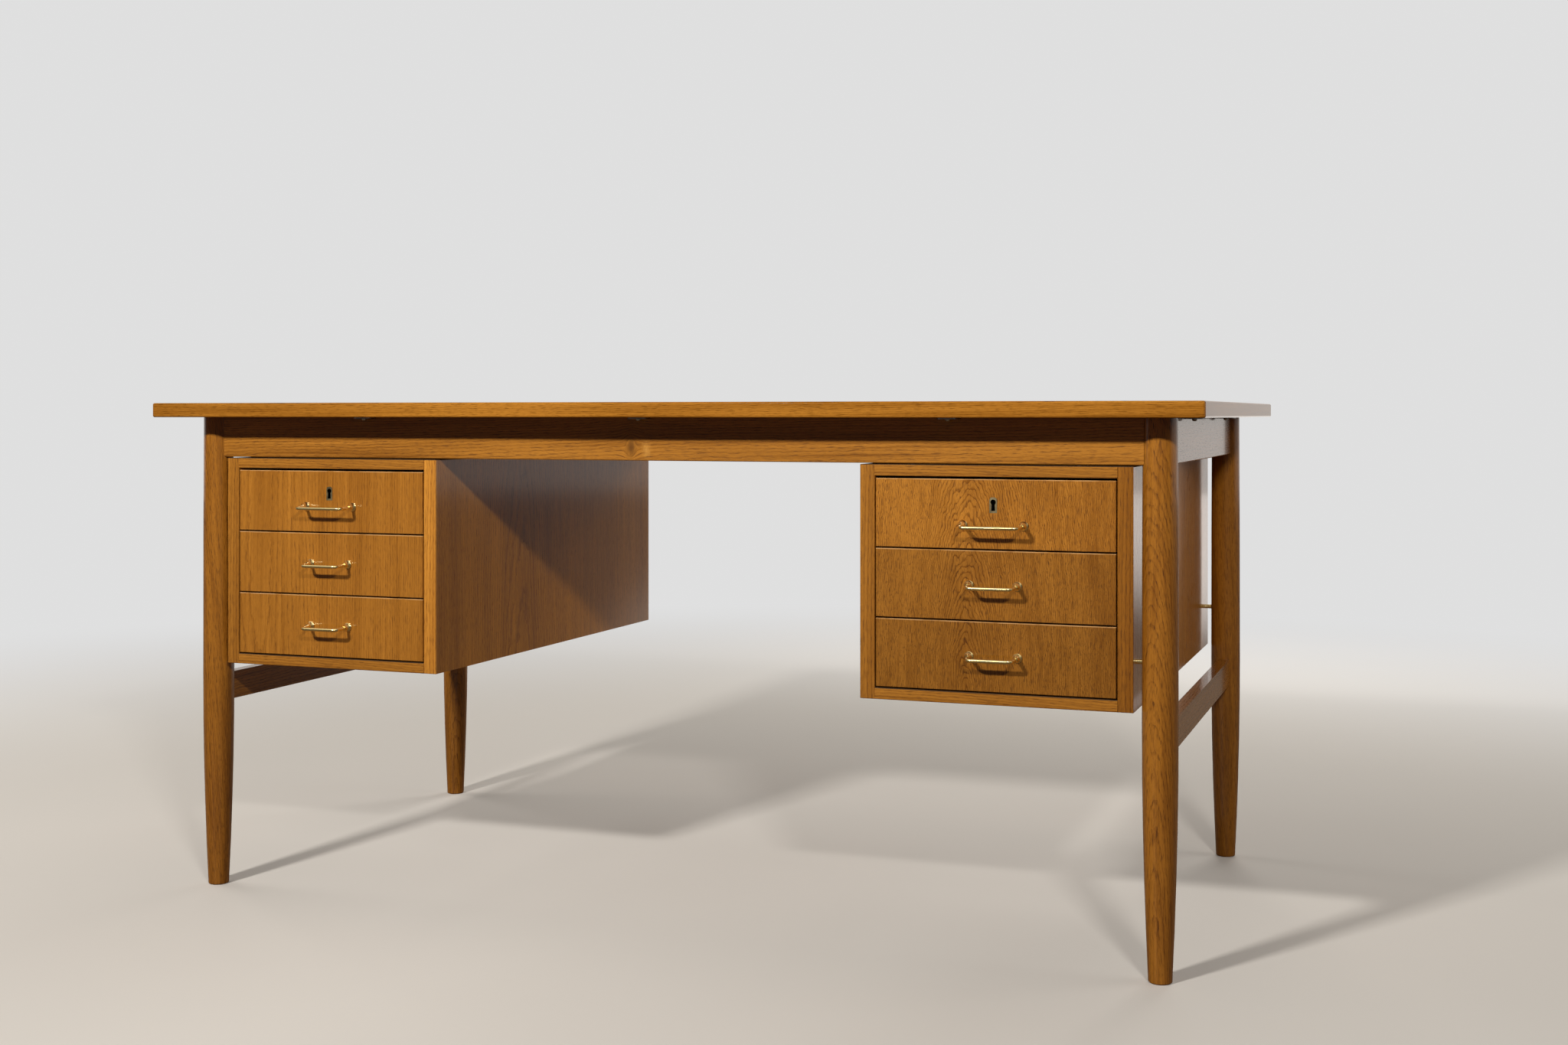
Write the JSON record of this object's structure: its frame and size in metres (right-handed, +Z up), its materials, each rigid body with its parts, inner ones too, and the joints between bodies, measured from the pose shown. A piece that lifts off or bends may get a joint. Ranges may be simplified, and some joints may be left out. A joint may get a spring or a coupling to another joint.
{
  "type": "executive desk",
  "caption": "Free-standing oak writing desk: thin slab top on turned, tapered legs with end stretchers, and two hung pedestals of flush drawers with brass bow handles and locks.",
  "frame": {"origin": "on the floor, under the middle of the top", "axes": "+X along the top's length, to the sitter's right; +Y away from the sitter; +Z up"},
  "size_m": [1.55, 0.85, 0.73],
  "materials": {
    "solid_oak": "semi-gloss lacquer",
    "oak_panel_veneer": "semi-gloss lacquer",
    "oak_front_veneer": "semi-gloss lacquer",
    "drawer_oak": "waxed",
    "drawer_plywood": "matt",
    "polished_brass": "polished",
    "aged_brass": "dull",
    "dull_steel": "dull"
  },
  "bodies": {
    "desk": {"drawer_runners": "drawer_oak", "front_apron": "solid_oak", "front_left_leg": "solid_oak", "front_right_leg": "solid_oak", "left_apron": "solid_oak", "left_pedestal_back": "oak_panel_veneer", "left_pedestal_bottom": "solid_oak", "left_pedestal_inner_side": "oak_panel_veneer", "left_pedestal_outer_side": "oak_panel_veneer", "left_pedestal_top": "solid_oak", "left_stretcher": "solid_oak", "pedestal_hanger_screws": "dull_steel", "pedestal_hanger_washers": "dull_steel", "pedestal_spacer_rods": "polished_brass", "rear_apron": "solid_oak", "rear_left_leg": "solid_oak", "rear_right_leg": "solid_oak", "right_apron": "solid_oak", "right_pedestal_back": "oak_panel_veneer", "right_pedestal_bottom": "solid_oak", "right_pedestal_inner_side": "oak_panel_veneer", "right_pedestal_outer_side": "oak_panel_veneer", "right_pedestal_top": "solid_oak", "right_stretcher": "solid_oak", "top_fastener_plates": "dull_steel", "top_fastener_screws": "dull_steel", "top_lipping": "solid_oak", "top_panel": "oak_panel_veneer"},
    "left_bottom_drawer": {"left_bottom_drawer_bottom": "drawer_plywood", "left_bottom_drawer_box": "drawer_oak", "left_bottom_drawer_front": "oak_front_veneer", "left_bottom_drawer_handle": "polished_brass"},
    "left_middle_drawer": {"left_middle_drawer_bottom": "drawer_plywood", "left_middle_drawer_box": "drawer_oak", "left_middle_drawer_front": "oak_front_veneer", "left_middle_drawer_handle": "polished_brass"},
    "left_top_drawer": {"left_key_escutcheon": "aged_brass", "left_lock_case": "dull_steel", "left_top_drawer_bottom": "drawer_plywood", "left_top_drawer_box": "drawer_oak", "left_top_drawer_front": "oak_front_veneer", "left_top_drawer_handle": "polished_brass"},
    "left_lock_bolt": {"left_lock_bolt": "dull_steel"},
    "right_bottom_drawer": {"right_bottom_drawer_bottom": "drawer_plywood", "right_bottom_drawer_box": "drawer_oak", "right_bottom_drawer_front": "oak_front_veneer", "right_bottom_drawer_handle": "polished_brass"},
    "right_middle_drawer": {"right_middle_drawer_bottom": "drawer_plywood", "right_middle_drawer_box": "drawer_oak", "right_middle_drawer_front": "oak_front_veneer", "right_middle_drawer_handle": "polished_brass"},
    "right_top_drawer": {"right_key_escutcheon": "aged_brass", "right_lock_case": "dull_steel", "right_top_drawer_bottom": "drawer_plywood", "right_top_drawer_box": "drawer_oak", "right_top_drawer_front": "oak_front_veneer", "right_top_drawer_handle": "polished_brass"},
    "right_lock_bolt": {"right_lock_bolt": "dull_steel"}
  },
  "joints": [
    {"name": "left_bottom_drawer_slide", "type": "slide", "parent": "desk", "child": "left_bottom_drawer", "axis": [0, -1, 0], "range_m": [0, 0.45]},
    {"name": "left_middle_drawer_slide", "type": "slide", "parent": "desk", "child": "left_middle_drawer", "axis": [0, -1, 0], "range_m": [0, 0.45]},
    {"name": "left_top_drawer_slide", "type": "slide", "parent": "desk", "child": "left_top_drawer", "axis": [0, -1, 0], "range_m": [0, 0.45]},
    {"name": "left_lock_bolt_slide", "type": "slide", "parent": "left_top_drawer", "child": "left_lock_bolt", "axis": [0, 0, 1], "range_m": [0, 0.008]},
    {"name": "right_bottom_drawer_slide", "type": "slide", "parent": "desk", "child": "right_bottom_drawer", "axis": [0, -1, 0], "range_m": [0, 0.45]},
    {"name": "right_middle_drawer_slide", "type": "slide", "parent": "desk", "child": "right_middle_drawer", "axis": [0, -1, 0], "range_m": [0, 0.45]},
    {"name": "right_top_drawer_slide", "type": "slide", "parent": "desk", "child": "right_top_drawer", "axis": [0, -1, 0], "range_m": [0, 0.45]},
    {"name": "right_lock_bolt_slide", "type": "slide", "parent": "right_top_drawer", "child": "right_lock_bolt", "axis": [0, 0, 1], "range_m": [0, 0.008]}
  ]
}
